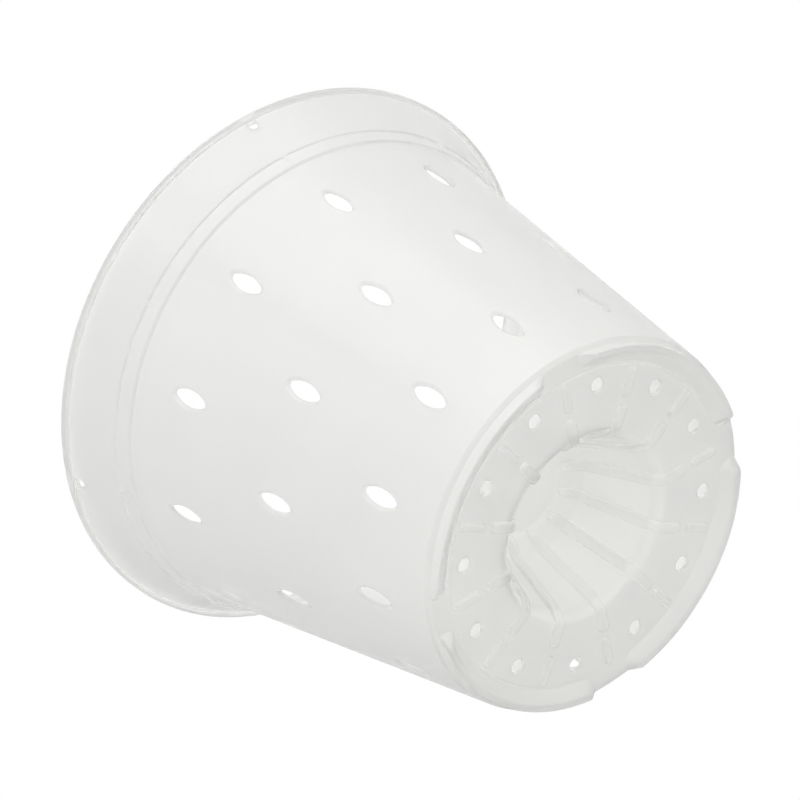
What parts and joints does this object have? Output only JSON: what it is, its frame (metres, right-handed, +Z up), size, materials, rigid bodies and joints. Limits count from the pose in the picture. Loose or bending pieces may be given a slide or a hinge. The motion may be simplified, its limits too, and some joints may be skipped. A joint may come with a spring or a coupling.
{
  "type": "orchid pot with slots",
  "caption": "Clear round orchid pot with almond slots in its tapered wall, a flared collar, a ribbed cone raised in the floor, drain holes and low curved feet.",
  "frame": {"origin": "centre of the circle that the four feet stand on, on the table", "axes": "+Z up through the mouth, along the axis of the pot; +X towards the middle of a gap between two feet, with foot_1 between +X and +Y"},
  "size_m": [0.12, 0.12, 0.0984],
  "materials": {
    "clear_plastic": "clear, slightly milky polypropylene with a soft satin shine"
  },
  "bodies": {
    "root": {"lip": "clear_plastic", "collar": "clear_plastic", "stacking_shoulder": "clear_plastic", "upper_wall": "clear_plastic", "middle_wall": "clear_plastic", "lower_wall": "clear_plastic", "heel": "clear_plastic", "floor": "clear_plastic", "cone_skirt": "clear_plastic", "cone_wall": "clear_plastic", "cone_shoulder": "clear_plastic", "cone_cap": "clear_plastic", "foot_1": "clear_plastic", "foot_2": "clear_plastic", "foot_3": "clear_plastic", "foot_4": "clear_plastic", "stacking_lug_1": "clear_plastic", "stacking_lug_2": "clear_plastic", "stacking_lug_3": "clear_plastic", "stacking_lug_4": "clear_plastic", "stacking_lug_5": "clear_plastic", "stacking_lug_6": "clear_plastic", "stacking_lug_7": "clear_plastic", "stacking_lug_8": "clear_plastic", "floor_rib_01": "clear_plastic", "floor_rib_02": "clear_plastic", "floor_rib_03": "clear_plastic", "floor_rib_04": "clear_plastic", "floor_rib_05": "clear_plastic", "floor_rib_06": "clear_plastic", "floor_rib_07": "clear_plastic", "floor_rib_08": "clear_plastic", "floor_rib_09": "clear_plastic", "floor_rib_10": "clear_plastic", "floor_rib_11": "clear_plastic", "floor_rib_12": "clear_plastic", "cone_rib_01": "clear_plastic", "cone_rib_02": "clear_plastic", "cone_rib_03": "clear_plastic", "cone_rib_04": "clear_plastic", "cone_rib_05": "clear_plastic", "cone_rib_06": "clear_plastic", "cone_rib_07": "clear_plastic", "cone_rib_08": "clear_plastic", "cone_rib_09": "clear_plastic", "cone_rib_10": "clear_plastic", "cone_rib_11": "clear_plastic", "cone_rib_12": "clear_plastic"}
  },
  "joints": []
}
